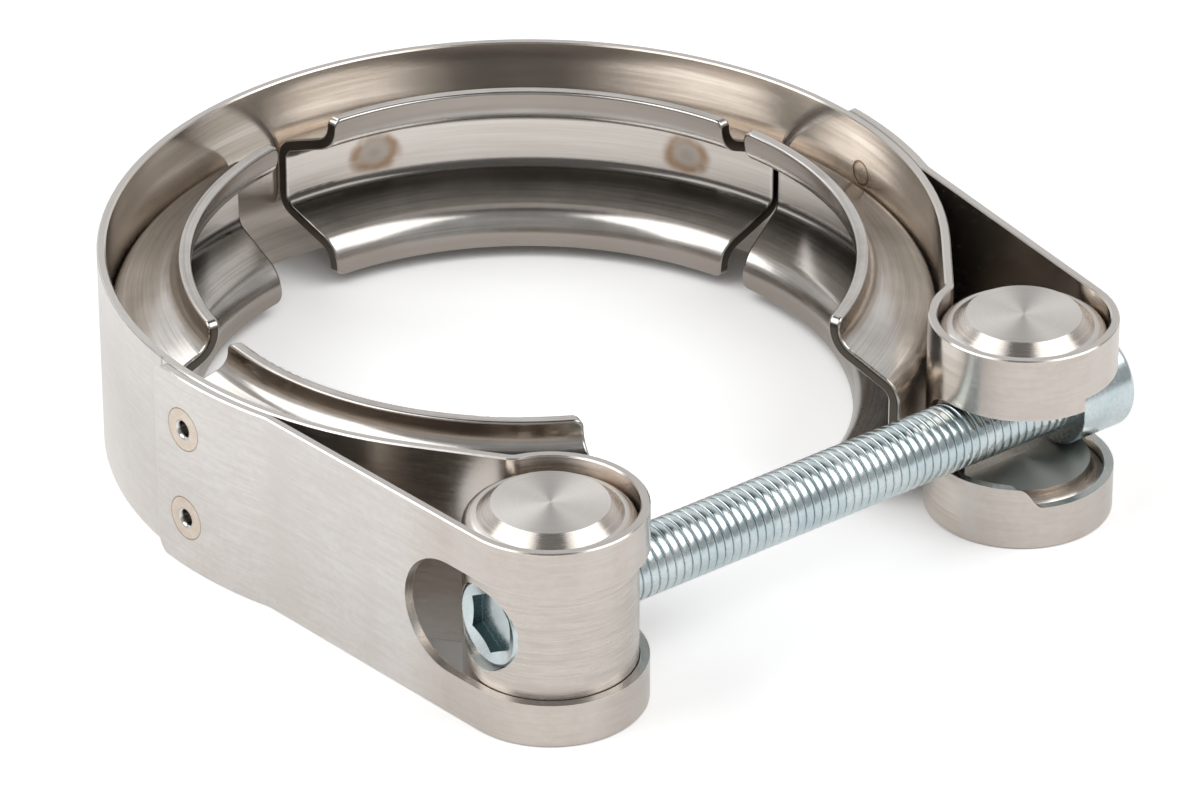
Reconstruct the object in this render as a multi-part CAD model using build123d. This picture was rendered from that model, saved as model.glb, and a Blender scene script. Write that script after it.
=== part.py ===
from build123d import *
import os
from math import acos, atan2, cos, degrees, radians, sin, sqrt

# Heavy V-profile band clamp. One stainless strip forms the ring, turns outward round a
# barrel trunnion at each end and folds back over itself, where two rivets hold it. Four
# V-section retainers line the ring. A cap screw crosses the opening: its head seats on the
# slotted trunnion, and its thread runs in a socket nut inside the other trunnion.
# The origin is the centre of the ring at half its width. Z is the axis of the ring, X runs
# along the screw, and the opening faces -Y.

# Strip
band_width = 37.5
band_thickness = 1.6
band_radius = 75.0            # outside of the strip on the ring
ring_half_angle = 128.0       # from the back of the ring to where the strip runs straight
throat_bend = 2.5             # inside radius where the strip turns out to the trunnion
flap_lean = 5.5               # degrees that the flap leans out from the screw's normal
flap_bend = 4.0               # inside radius where the flap comes back to the ring
flap_inset = 1.888            # how far the flap's line cuts inside the last point of that bend
lap_length = 27.0             # how far the flap lies along the ring
lap_gap = 0.1                 # between the two layers
flap_corner = 3.0
edge_break = 0.25             # deburred edges of the strip

# Trunnions
trunnion_radius = 14.75
ring_to_trunnion = 1.2        # between the outside of the ring and a trunnion
loop_clearance = 0.2
land_radius = 10.0            # flat end of a trunnion
end_chamfer = 1.9
shoulder_radius = 2.45        # round shoulder between the chamfer and the barrel
neck_radius = 12.4            # slotted trunnion between its two barrels
neck_half_height = 10.2
self_align_angle = 8.0        # swing of the slotted trunnion on its seat

# Windows in the loops of the strip
window_half_height = 10.6
window_reach = 16.2           # from the trunnion's axis to the rounded end in the flap
thread_window_half = 6.9      # beside the slotted trunnion, where only the thread passes
head_window_top = 9.4
window_past_screw = 0.9       # room beyond the thread on the ring side
lower_step = (-11.0, -7.0)    # where the lower edge drops, from the trunnion's axis
upper_step = (2.5, 6.2)       # where the upper edge rises, from the trunnion's axis

# Cap screw, M12
thread_diameter = 12.0
head_diameter = 18.0
head_height = 12.0
head_edge = 1.2
key_size = 10.0
head_key_depth = 6.0
tip_chamfer = 1.2
seat_distance = 7.0           # from the slotted trunnion's axis to its seat
screw_clearance = 0.3         # round the thread in the trunnions
head_clearance = 0.3          # above and below the head in the slot

# Socket nut
nut_diameter = 15.3
nut_clearance = 0.08
nut_shoulder = 9.0            # from the trunnion's axis to the shoulder under the nut
nut_recess = 1.7              # below the surface of the trunnion
nut_edge = 0.5
nut_socket_depth = 2.65       # down to the end of the screw
nut_mouth_radius = 7.0        # cone round the hexagon
nut_mouth_depth = 0.8
thread_clearance = 0.05

# Retainers
retainer_thickness = 2.3
retainer_depth = 14.9         # from the inside of the strip to the inner face of the lips
retainer_half_height = 16.2
web_half_height = 5.2         # height at which the web would meet a flank without the crease
lip_foot = 10.45              # height at which a lip would meet its flank without the roll
roll_radius = 6.0             # outside of the bend
crease_radius = 2.2
lip_corner = 1.6
lip_edge = 0.5
end_relief = 9.0              # degrees that a segment's ends fall back towards the lips
retainer_start_angle = -65.2  # where the right segment starts, then the lengths in degrees
right_angle = 77.5
right_gap_angle = 0.4
back_angle = 78.4
back_gap_angle = 8.6
left_angle = 71.6
left_gap_angle = 2.4
front_angle = 70.8

# Rivets
rivet_head_diameter = 8.0
rivet_shank_diameter = 5.0
rivet_hole_diameter = 3.6
rivet_hole_depth = 2.2
rivet_sink = 0.9              # depth of the countersink
rivet_run_out = 1.0           # past the curved inner face, before trimming
rivet_half_spacing = 8.8
rivet_from_end = 8.0          # along the ring from the end of the flap

ring_mid = band_radius - band_thickness / 2
ring_inner = band_radius - band_thickness
loop_inner = trunnion_radius + loop_clearance
loop_mid = loop_inner + band_thickness / 2
loop_outer = loop_inner + band_thickness
lap_thickness = 2 * band_thickness + lap_gap
lap_mid = ring_mid + band_thickness + lap_gap
lip_radius = ring_inner - retainer_depth
trunnion_distance = band_radius + ring_to_trunnion + trunnion_radius
flap_reach = lap_mid - loop_mid - flap_inset  # from the ring's centre to a trunnion, across the flap
trunnion_angle = flap_lean + degrees(acos(flap_reach / trunnion_distance))
trunnion_x = trunnion_distance * cos(radians(trunnion_angle))
screw_distance = trunnion_distance * sin(radians(trunnion_angle))
seat_x = trunnion_x + seat_distance
half_width = band_width / 2
thread_radius = thread_diameter / 2
head_radius = head_diameter / 2
slot_half_height = head_radius + head_clearance
nut_length = nut_shoulder + trunnion_radius - nut_recess
nut_end = trunnion_x + trunnion_radius - nut_recess
screw_length = seat_x + nut_end - nut_socket_depth      # 120, a standard length
reach = band_radius + 3 * trunnion_radius     # past everything, for cutters


def polar(radius, angle):
    return Vector(radius * cos(radians(angle)), radius * sin(radians(angle)))


def bearing(vector):
    return degrees(atan2(vector.Y, vector.X))


def along(start, heading, centre, distance):
    """First point from start along heading that lies at distance from centre."""
    to_centre = centre - start
    foot = to_centre.dot(heading)
    offset_squared = to_centre.dot(to_centre) - foot * foot
    return start + heading * (foot - sqrt(distance * distance - offset_squared))


def side_path():
    """Middle of the strip on the right, from the ring to the flap's end, as lines and arcs."""
    axis = Vector(trunnion_x, -screw_distance)
    throat_mid = throat_bend + band_thickness / 2
    leave_angle = 90 - ring_half_angle
    leave = polar(ring_mid, leave_angle)
    heading = polar(1, leave_angle - 90)
    throat = along(leave - polar(throat_mid, leave_angle), heading, axis, loop_mid + throat_mid)
    into_loop = bearing(axis - throat)
    flap_heading = polar(1, 90 - flap_lean)
    outward = polar(1, -flap_lean)
    bend_mid = flap_bend + band_thickness / 2
    bend = along(axis + outward * (loop_mid + bend_mid), flap_heading, Vector(0, 0), lap_mid + bend_mid)
    lap_start = bearing(bend)
    return [
        ("line", leave, throat + polar(throat_mid, leave_angle)),
        ("arc", throat, throat_mid, leave_angle, into_loop - leave_angle),
        ("arc", axis, loop_mid, into_loop + 180, 180 - flap_lean - into_loop),
        ("line", axis + outward * loop_mid, bend - outward * bend_mid),
        ("arc", bend, bend_mid, 180 - flap_lean, lap_start + flap_lean),
        ("arc", Vector(0, 0), lap_mid, lap_start, degrees(lap_length / lap_mid)),
    ]


def mirrored(path):
    """The same path on the left, run the other way."""
    result = []
    for kind, first, *rest in reversed(path):
        flipped = Vector(-first.X, first.Y)
        if kind == "line":
            result.append((kind, Vector(-rest[0].X, rest[0].Y), flipped))
        else:
            radius, start, sweep = rest
            result.append((kind, flipped, radius, 180 - start - sweep, sweep))
    return result


def parallel(path, distance):
    """Edges at a distance to the left of a path of lines and arcs."""
    edges = []
    for kind, first, *rest in path:
        if kind == "line":
            heading = (rest[0] - first).normalized()
            shift = Vector(-heading.Y, heading.X) * distance
            edges.append(Line(first + shift, rest[0] + shift))
        else:
            radius, start, sweep = rest
            offset_radius = radius - distance if sweep > 0 else radius + distance
            edges.append(CenterArc(first, offset_radius, start, sweep))
    return edges


def lap_end_angle():
    """Bearing of the right flap's end round the ring."""
    start, sweep = side_path()[-1][3:]
    return start + sweep


def upright_slot(x_from, x_to, tip, top, bottom):
    """Cutter along X: open towards -Y, with a full round end at y = tip."""
    radius = (top - bottom) / 2
    centre_z = (top + bottom) / 2
    length = x_to - x_from
    middle = (x_from + x_to) / 2
    depth = reach + tip - radius
    slab = Pos(middle, tip - radius - depth / 2, centre_z) * Box(length, depth, 2 * radius)
    end = Pos(middle, tip - radius, centre_z) * Rot(0, 90, 0) * Cylinder(radius, length)
    return slab + end


def stepped_window():
    """Cutter along Y on the outside of the slotted trunnion's loop, with a step in each edge."""
    left = trunnion_x - 2 * loop_outer
    right = trunnion_x + 2 * loop_outer

    def edge(step, before, after):
        start, end = (trunnion_x + value for value in step)
        middle = (start + end) / 2
        return [
            Line((left, before), (start, before)),
            Bezier((start, before), (middle, before), (middle, after), (end, after)),
            Line((end, after), (right, after)),
        ]

    top = edge(upper_step, thread_window_half, head_window_top)
    bottom = edge(lower_step, -thread_window_half, -window_half_height)
    outline = top + bottom + [
        Line((left, -thread_window_half), (left, thread_window_half)),
        Line((right, -window_half_height), (right, head_window_top)),
    ]
    face = make_face(Plane.XZ * Curve(outline))
    return extrude(face, amount=reach, dir=(0, -1, 0)) - Pos(0, reach / 2 - screw_distance, 0) * Box(
        2 * reach, reach, band_width)


def band_strap():
    side = side_path()
    ring = ("arc", Vector(0, 0), ring_mid, 90 + ring_half_angle, -2 * ring_half_angle)
    path = mirrored(side) + [ring] + side
    left = parallel(path, band_thickness / 2)
    right = parallel(path, -band_thickness / 2)
    caps = [Line(left[0] @ 0, right[0] @ 0), Line(left[-1] @ 1, right[-1] @ 1)]
    outline = make_face(left + right + caps)
    strap = Pos(0, 0, -half_width) * extrude(outline, amount=band_width, dir=(0, 0, 1))
    rims = strap.faces().filter_by(Axis.Z).edges().filter_by(
        lambda edge: abs(edge.length - band_thickness) > 0.01)
    strap = chamfer(rims, edge_break)

    end_angle = lap_end_angle()
    for angle in (end_angle, 180 - end_angle):
        end = polar(lap_mid, angle)
        corners = strap.edges().filter_by(
            lambda edge: (edge.center() - end).length < half_width + band_thickness
            and edge.length < band_thickness + 0.01 and abs(abs(edge.center().Z) - half_width) < 0.01)
        strap = fillet(corners, flap_corner)

    past_screw = thread_radius + window_past_screw - screw_distance
    flap_tip = window_reach - screw_distance
    outside = trunnion_x + 2 * loop_outer
    inside = trunnion_x - 2 * loop_outer
    strap -= upright_slot(-outside, -trunnion_x, flap_tip, window_half_height, -window_half_height)
    strap -= upright_slot(-trunnion_x, -inside, past_screw, window_half_height, -window_half_height)
    strap -= upright_slot(trunnion_x, outside, flap_tip, head_window_top, -window_half_height)
    strap -= upright_slot(inside, trunnion_x, past_screw, thread_window_half, -thread_window_half)
    strap -= stepped_window()

    for rivet_z in (-rivet_half_spacing, rivet_half_spacing):
        for angle in rivet_angles():
            strap -= rivet_place(angle, rivet_z) * rivet_body()
    return strap


def rivet_angles():
    back_off = degrees(rivet_from_end / lap_mid)
    right = lap_end_angle() - back_off
    return right, 180 - right


def rivet_place(angle, z):
    """Frame on the inner face of the ring, with its Z pointing out through the strip."""
    return Rot(0, 0, angle) * Pos(ring_inner, 0, z) * Rot(0, 90, 0)


def rivet_body():
    """Shank with a countersunk head, before both ends are trimmed to the lap."""
    head_z = lap_thickness - rivet_sink
    shank = Pos(0, 0, -rivet_run_out) * Cylinder(
        rivet_shank_diameter / 2, head_z + rivet_run_out, align=(Align.CENTER, Align.CENTER, Align.MIN))
    head = Pos(0, 0, head_z) * Cone(
        rivet_shank_diameter / 2, rivet_head_diameter / 2, rivet_sink,
        align=(Align.CENTER, Align.CENTER, Align.MIN))
    return shank + head


def rivet(angle, z):
    """Flush rivet with a drilled head."""
    hole = Pos(0, 0, lap_thickness - rivet_hole_depth) * Cylinder(
        rivet_hole_diameter / 2, reach, align=(Align.CENTER, Align.CENTER, Align.MIN))
    body = rivet_place(angle, z) * (rivet_body() - hole)
    lap_outer = Cylinder(ring_inner + lap_thickness, band_width)
    return (body & lap_outer) - Cylinder(ring_inner, band_width)


def retainer(start, end):
    web_face = ring_inner - retainer_thickness
    points = [
        (lip_radius, retainer_half_height),
        (lip_radius, lip_foot),
        (web_face, web_half_height),
        (web_face, -web_half_height),
        (lip_radius, -lip_foot),
        (lip_radius, -retainer_half_height),
    ]
    line = FilletPolyline(*points, radius=[roll_radius, crease_radius, crease_radius, roll_radius])
    section = make_face(Plane.XZ * offset(line, retainer_thickness, side=Side.LEFT, closed=True))
    part = Rot(0, 0, start) * revolve(section, Axis.Z, end - start)
    for angle, relief, side in ((start, -end_relief, Align.MAX), (end, end_relief, Align.MIN)):
        corner = polar(ring_inner, angle)
        beyond = Box(reach, reach, band_width, align=(Align.CENTER, side, Align.CENTER))
        part -= Pos(corner.X, corner.Y, 0) * Rot(0, 0, angle + relief) * beyond
    corners = part.edges().filter_by(
        lambda edge: abs(abs(edge.center().Z) - retainer_half_height) < 0.01
        and edge.length < 2 * retainer_thickness)
    part = fillet(corners, lip_corner)
    rims = part.faces().filter_by(
        lambda face: abs(abs(face.center().Z) - retainer_half_height) < 0.01).edges()
    return fillet(rims.filter_by(lambda edge: edge.length > 2 * retainer_thickness), lip_edge)


def barrel(end_half_height, neck):
    """Half outline of a trunnion, turned about its axis."""
    shoulder_z = end_half_height - end_chamfer
    barrel_z = shoulder_z - shoulder_radius
    round_x = trunnion_radius - shoulder_radius
    lines = [
        Line((0, end_half_height), (land_radius, end_half_height)),
        Line((land_radius, end_half_height), (round_x, shoulder_z)),
        CenterArc((round_x, barrel_z), shoulder_radius, 0, 90),
    ]
    if neck:
        neck_top = neck_half_height + trunnion_radius - neck_radius
        lines += [
            Line((trunnion_radius, barrel_z), (trunnion_radius, neck_top)),
            CenterArc((trunnion_radius, neck_half_height), neck_top - neck_half_height, 90, 90),
            Line((neck_radius, neck_half_height), (neck_radius, 0)),
        ]
    else:
        lines.append(Line((trunnion_radius, barrel_z), (trunnion_radius, 0)))
    last = lines[-1] @ 1
    lines += [Line(last, (0, 0)), Line((0, 0), (0, end_half_height))]
    half = revolve(make_face(Plane.XZ * Curve(lines)), Axis.Z)
    return half + mirror(half, Plane.XY)


def nut_trunnion():
    body = barrel(half_width, neck=False)
    bore_length = trunnion_radius + nut_shoulder
    bore = Pos(nut_shoulder - bore_length / 2, 0, 0) * Rot(0, 90, 0) * Cylinder(
        nut_diameter / 2 + nut_clearance, bore_length)
    way_out = Rot(0, 90, 0) * Cylinder(
        thread_radius + screw_clearance, 2 * trunnion_radius, align=(Align.CENTER, Align.CENTER, Align.MIN))
    return Pos(-trunnion_x, -screw_distance, 0) * (body - bore - way_out)


def slotted_trunnion():
    body = barrel(half_width, neck=True)
    size = 4 * trunnion_radius
    slot = Box(size, size, 2 * slot_half_height, align=(Align.CENTER, Align.MAX, Align.CENTER))
    head_room = Pos(seat_distance, 0, 0) * Box(
        size, size, 2 * slot_half_height, align=(Align.MIN, Align.CENTER, Align.CENTER))
    hole_radius = thread_radius + screw_clearance
    hole = Rot(0, 90, 0) * Cylinder(hole_radius, size)
    swung = Rot(0, 0, -self_align_angle) * Rot(0, 90, 0) * Cylinder(
        hole_radius, size / 2, align=(Align.CENTER, Align.CENTER, Align.MAX))
    between = Polyline(
        (0, 0), (-size / 2, 0), (-size / 2, size / 2 * sin(radians(self_align_angle))), close=True)
    flare = Pos(0, 0, -hole_radius) * extrude(make_face(between), amount=2 * hole_radius, dir=(0, 0, 1))
    cut = body - slot - head_room - hole - swung - flare
    return Pos(trunnion_x, -screw_distance, 0) * cut


def hexagon(across_flats):
    return RegularPolygon(across_flats / 2, 6, major_radius=False)


def cap_screw():
    """Plain shank at the thread's outside size, and a cylinder head with a hexagon socket."""
    head = extrude(Circle(head_radius), amount=head_height)
    head = fillet(head.edges().sort_by(Axis.Z)[-1], head_edge)
    head -= Pos(0, 0, head_height - head_key_depth) * extrude(hexagon(key_size), amount=head_height)
    shank = extrude(Circle(thread_radius), amount=-screw_length)
    shank = chamfer(shank.edges().sort_by(Axis.Z)[0], tip_chamfer)
    return Pos(seat_x, -screw_distance, 0) * Rot(0, 90, 0) * (head + shank)


def socket_nut():
    """Sleeve nut that bears on the shoulder in its trunnion, with a hexagon at its outer end."""
    body = extrude(Circle(nut_diameter / 2), amount=nut_length)
    body = chamfer(body.edges().sort_by(Axis.Z)[0], nut_edge)
    body -= Pos(0, 0, nut_socket_depth) * extrude(
        Circle(thread_radius + thread_clearance), amount=nut_length)
    body -= extrude(hexagon(key_size), amount=nut_socket_depth)
    body -= Cone(
        nut_mouth_radius, key_size / 2, nut_mouth_depth, align=(Align.CENTER, Align.CENTER, Align.MIN))
    return Pos(-nut_end, -screw_distance, 0) * Rot(0, 90, 0) * body


def pieces():
    yield "band_strap", band_strap()
    start = retainer_start_angle
    for name, length, gap in (("right", right_angle, right_gap_angle), ("back", back_angle, back_gap_angle),
                              ("left", left_angle, left_gap_angle), ("front", front_angle, 0)):
        yield f"retainer_{name}", retainer(start, start + length)
        start += length + gap
    yield "nut_trunnion", nut_trunnion()
    yield "slotted_trunnion", slotted_trunnion()
    yield "socket_nut", socket_nut()
    yield "cap_screw", cap_screw()
    for side, angle in zip(("right", "left"), rivet_angles()):
        yield f"rivet_{side}_upper", rivet(angle, rivet_half_spacing)
        yield f"rivet_{side}_lower", rivet(angle, -rivet_half_spacing)


os.makedirs("parts", exist_ok=True)
for node, shape in pieces():
    export_step(shape, f"parts/{node}.step")
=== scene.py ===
import bmesh
import bpy
import math
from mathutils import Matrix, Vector


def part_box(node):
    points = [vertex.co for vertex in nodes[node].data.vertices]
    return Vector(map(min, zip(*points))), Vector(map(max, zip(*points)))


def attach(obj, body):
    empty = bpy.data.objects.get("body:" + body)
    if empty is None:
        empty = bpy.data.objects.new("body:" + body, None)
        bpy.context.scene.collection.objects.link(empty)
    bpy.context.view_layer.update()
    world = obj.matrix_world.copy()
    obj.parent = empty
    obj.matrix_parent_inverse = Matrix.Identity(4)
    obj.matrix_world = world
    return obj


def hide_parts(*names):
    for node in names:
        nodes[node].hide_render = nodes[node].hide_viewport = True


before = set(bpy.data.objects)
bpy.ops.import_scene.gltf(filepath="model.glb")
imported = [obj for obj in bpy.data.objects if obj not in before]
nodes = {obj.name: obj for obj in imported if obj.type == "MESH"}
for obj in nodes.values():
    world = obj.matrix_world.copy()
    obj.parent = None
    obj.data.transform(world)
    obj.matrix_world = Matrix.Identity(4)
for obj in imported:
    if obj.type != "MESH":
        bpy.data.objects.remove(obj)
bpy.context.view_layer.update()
print("frame loaded")

mm = 0.001

# the places that the finishes and the new pieces share, in metres
places = {
    "screwY": -0.0751,
    "keyFloor": -0.0617,
    "nutTrunnion": (-0.0513, -0.0751, 0.0),
    "slottedTrunnion": (0.0513, -0.0751, 0.0),
    "floor": -0.01876,
}


# small helpers for node trees

def addNode(tree, kind, **settings):
    node = tree.nodes.new(kind)
    for name, value in settings.items():
        setattr(node, name, value)
    return node


def feed(tree, value, socket):
    # a socket is linked, anything else becomes the default
    if isinstance(value, bpy.types.NodeSocket):
        tree.links.new(value, socket)
    elif value is not None:
        socket.default_value = value


def maths(tree, operation, *values):
    node = addNode(tree, "ShaderNodeMath", operation=operation)
    for value, socket in zip(values, node.inputs):
        feed(tree, value, socket)
    return node.outputs[0]


def vectorMaths(tree, operation, *values):
    node = addNode(tree, "ShaderNodeVectorMath", operation=operation)
    for value, socket in zip(values, node.inputs):
        feed(tree, value, socket)
    return node.outputs["Value"] if operation in ("LENGTH", "DOT_PRODUCT") else node.outputs[0]


def ramp(tree, value, low, high, toLow=0.0, toHigh=1.0):
    node = addNode(tree, "ShaderNodeMapRange", interpolation_type="SMOOTHSTEP")
    for socket, number in zip(node.inputs, (value, low, high, toLow, toHigh)):
        feed(tree, number, socket)
    return node.outputs[0]


def split(tree, vector):
    node = addNode(tree, "ShaderNodeSeparateXYZ")
    feed(tree, vector, node.inputs[0])
    return node.outputs


def join(tree, x=None, y=None, z=None):
    node = addNode(tree, "ShaderNodeCombineXYZ")
    for value, socket in zip((x, y, z), node.inputs):
        feed(tree, value, socket)
    return node.outputs[0]


# the two inputs and the output that a Mix node has for each kind of value
mixSockets = {"FLOAT": (2, 3, 0), "VECTOR": (4, 5, 1), "RGBA": (6, 7, 2)}


def mix(tree, kind, amount, first, second, **settings):
    node = addNode(tree, "ShaderNodeMix", data_type=kind, **settings)
    firstInput, secondInput, output = mixSockets[kind]
    feed(tree, amount, node.inputs[0])
    feed(tree, first, node.inputs[firstInput])
    feed(tree, second, node.inputs[secondInput])
    return node.outputs[output]


def mixValue(tree, amount, first, second):
    return mix(tree, "FLOAT", amount, first, second)


def mixColour(tree, amount, first, second, blend="MIX"):
    return mix(tree, "RGBA", amount, first, second, blend_type=blend)


def noise(tree, position, scale, detail=2.0, roughness=0.5, fourth=None):
    node = addNode(tree, "ShaderNodeTexNoise", noise_dimensions="3D" if fourth is None else "4D")
    feed(tree, position, node.inputs["Vector"])
    if fourth is not None:
        feed(tree, fourth, node.inputs["W"])
    feed(tree, scale, node.inputs["Scale"])
    feed(tree, detail, node.inputs["Detail"])
    feed(tree, roughness, node.inputs["Roughness"])
    return node.outputs[0]


def startGroup(name, inputs, outputs):
    tree = bpy.data.node_groups.new(name, "ShaderNodeTree")
    for label, kind, default in inputs:
        socket = tree.interface.new_socket(label, in_out="INPUT", socket_type=kind)
        socket.default_value = default
    for label, kind in outputs:
        tree.interface.new_socket(label, in_out="OUTPUT", socket_type=kind)
    return tree, addNode(tree, "NodeGroupInput").outputs, addNode(tree, "NodeGroupOutput").inputs


def place(tree, group, **values):
    node = addNode(tree, "ShaderNodeGroup", node_tree=group)
    for label, value in values.items():
        feed(tree, value, node.inputs[label])
    return node.outputs


vectorIn = "NodeSocketVector"
floatIn = "NodeSocketFloat"


# effects that several finishes share

def brushLines():
    # fine lines along the rolling or turning direction: slow round the centre, fast in height and radius
    tree, given, out = startGroup(
        "brushLines",
        [("Position", vectorIn, (0, 0, 0)), ("Centre", vectorIn, (0, 0, 0)),
         ("Lengthwise", floatIn, 60.0), ("Across", floatIn, 2500.0), ("Radial", floatIn, 0.0),
         ("Detail", floatIn, 3.0)],
        [("Lines", floatIn), ("Radius", floatIn)])
    x, y, z = split(tree, vectorMaths(tree, "SUBTRACT", given["Position"], given["Centre"]))
    radius = vectorMaths(tree, "LENGTH", join(tree, x, y))
    stretched = join(tree, maths(tree, "MULTIPLY", x, given["Lengthwise"]),
                     maths(tree, "MULTIPLY", y, given["Lengthwise"]),
                     maths(tree, "MULTIPLY", z, given["Across"]))
    grain = noise(tree, stretched, 1.0, given["Detail"], 0.65,
                  fourth=maths(tree, "MULTIPLY", radius, given["Radial"]))
    feed(tree, grain, out["Lines"])
    feed(tree, radius, out["Radius"])
    return tree


def handMarks():
    # sparse thin scratches, broken up by a broad noise
    tree, given, out = startGroup(
        "handMarks",
        [("Position", vectorIn, (0, 0, 0)), ("Stretch", vectorIn, (1, 1, 1)), ("Scale", floatIn, 60.0),
         ("Width", floatIn, 0.012), ("Share", floatIn, 0.5)],
        [("Marks", floatIn)])
    bent = vectorMaths(tree, "MULTIPLY", given["Position"], given["Stretch"])
    wobble = addNode(tree, "ShaderNodeTexNoise")
    feed(tree, bent, wobble.inputs["Vector"])
    feed(tree, maths(tree, "MULTIPLY", given["Scale"], 0.35), wobble.inputs["Scale"])
    displaced = vectorMaths(tree, "MULTIPLY_ADD", wobble.outputs["Color"], (0.012, 0.012, 0.012), bent)
    cells = addNode(tree, "ShaderNodeTexVoronoi", feature="DISTANCE_TO_EDGE")
    feed(tree, displaced, cells.inputs["Vector"])
    feed(tree, given["Scale"], cells.inputs["Scale"])
    line = ramp(tree, cells.outputs["Distance"], 0.0, given["Width"], 1.0, 0.0)
    where = noise(tree, given["Position"], 140.0, 2.0)
    threshold = maths(tree, "SUBTRACT", 1.0, given["Share"])
    present = ramp(tree, where, threshold, maths(tree, "ADD", threshold, 0.15))
    feed(tree, maths(tree, "MULTIPLY", line, present), out["Marks"])
    return tree


def heatStain():
    # brown and straw ring that a spot weld leaves, wider along the band than across it
    tree, given, out = startGroup(
        "heatStain",
        [("Position", vectorIn, (0, 0, 0)), ("Centre", vectorIn, (0, 0, 0)), ("Radius", floatIn, 0.0038),
         ("Spread", floatIn, 0.0019)],
        [("Ring", floatIn), ("Halo", floatIn), ("Core", floatIn)])
    away = vectorMaths(tree, "SUBTRACT", given["Position"], given["Centre"])
    distance = vectorMaths(tree, "LENGTH", vectorMaths(tree, "MULTIPLY", away, (1, 1, 1.22)))
    uneven = maths(tree, "MULTIPLY_ADD", noise(tree, given["Position"], 170.0, 2.0), 0.0030, -0.0015)
    worn = maths(tree, "ADD", distance, uneven)
    offRing = maths(tree, "ABSOLUTE", maths(tree, "SUBTRACT", worn, given["Radius"]))
    patchy = ramp(tree, noise(tree, given["Position"], 210.0, 2.0), 0.3, 0.55, 0.25, 1.0)
    ring = ramp(tree, offRing, 0.0, given["Spread"], 1.0, 0.0)
    feed(tree, maths(tree, "MULTIPLY", ring, patchy), out["Ring"])
    reach = maths(tree, "MULTIPLY_ADD", given["Spread"], 0.8, given["Radius"])
    inner = maths(tree, "MULTIPLY_ADD", given["Spread"], -0.6, given["Radius"])
    feed(tree, ramp(tree, worn, inner, reach, 1.0, 0.0), out["Halo"])
    half = maths(tree, "MULTIPLY", given["Radius"], 0.5)
    feed(tree, ramp(tree, worn, 0.0, half, 1.0, 0.0), out["Core"])
    return tree


def edgeWearAndHighlight():
    # painted highlight, partly bare worn metal: a bright line where two faces meet at a corner, standing
    # in for light caught by small bevels
    tree, given, out = startGroup(
        "edgeWearAndHighlight",
        [("Position", vectorIn, (0, 0, 0)), ("Width", floatIn, 0.00025)],
        [("Edge", floatIn)])
    rounded = addNode(tree, "ShaderNodeBevel", samples=6)
    feed(tree, given["Width"], rounded.inputs["Radius"])
    sharp = addNode(tree, "ShaderNodeNewGeometry").outputs["Normal"]
    agree = vectorMaths(tree, "DOT_PRODUCT", rounded.outputs[0], sharp)
    broken = ramp(tree, noise(tree, given["Position"], 700.0, 2.0), 0.25, 0.6, 0.55, 1.0)
    feed(tree, maths(tree, "MULTIPLY", ramp(tree, agree, 0.84, 0.985, 1.0, 0.0), broken), out["Edge"])
    return tree


def cloudiness():
    # broad uneven reflection that thin sheet and plating show
    tree, given, out = startGroup(
        "cloudiness",
        [("Position", vectorIn, (0, 0, 0)), ("Scale", floatIn, 60.0)],
        [("Cloud", floatIn)])
    feed(tree, noise(tree, given["Position"], given["Scale"], 4.0, 0.6), out["Cloud"])
    return tree


lines = brushLines()
marks = handMarks()
stain = heatStain()
# painted edge highlight, partly bare worn metal
wearAndHighlight = edgeWearAndHighlight()
clouds = cloudiness()
print("shared effects made")


def startMaterial(name):
    material = bpy.data.materials.new(name)
    material.use_nodes = True
    tree = material.node_tree
    shader = tree.nodes["Principled BSDF"]
    shader.inputs["Metallic"].default_value = 1.0
    where = addNode(tree, "ShaderNodeTexCoord")
    return material, tree, shader, where.outputs["Object"], where.outputs["Normal"]


def bump(tree, shader, height, strength, depth):
    node = addNode(tree, "ShaderNodeBump")
    node.inputs["Strength"].default_value = strength
    node.inputs["Distance"].default_value = depth
    feed(tree, height, node.inputs["Height"])
    feed(tree, node.outputs[0], shader.inputs["Normal"])


def aroundAxis(tree, position, centre=(0, 0, 0)):
    # level direction round an upright axis
    local = vectorMaths(tree, "SUBTRACT", position, centre)
    return vectorMaths(tree, "NORMALIZE", vectorMaths(tree, "CROSS_PRODUCT", (0, 0, 1), local))


def grainTangent(tree, shader, normal, level):
    # brushing blurs the highlights across its lines, so the tangent runs up a wall and outwards on a top
    feed(tree, vectorMaths(tree, "CROSS_PRODUCT", level, normal), shader.inputs["Tangent"])


def wallDirection(tree, position, normal, steep):
    # level direction along a bent wall, and round the ring on the edges that face up or down
    along = vectorMaths(tree, "CROSS_PRODUCT", (0, 0, 1), normal)
    return mix(tree, "VECTOR", steep, along, aroundAxis(tree, position))


def facesMiddle(tree, position, rise):
    # faces above mid-height that look down, and below it that look up
    product = maths(tree, "MULTIPLY", split(tree, position)[2], rise)
    return ramp(tree, product, -1.0 * mm, 0.0, 1.0, 0.0)


def mirroredPlace(tree, position):
    # one flap's upper rivet stands for all four
    x, y, z = split(tree, position)
    return join(tree, maths(tree, "ABSOLUTE", x), y, maths(tree, "ABSOLUTE", z))


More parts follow.
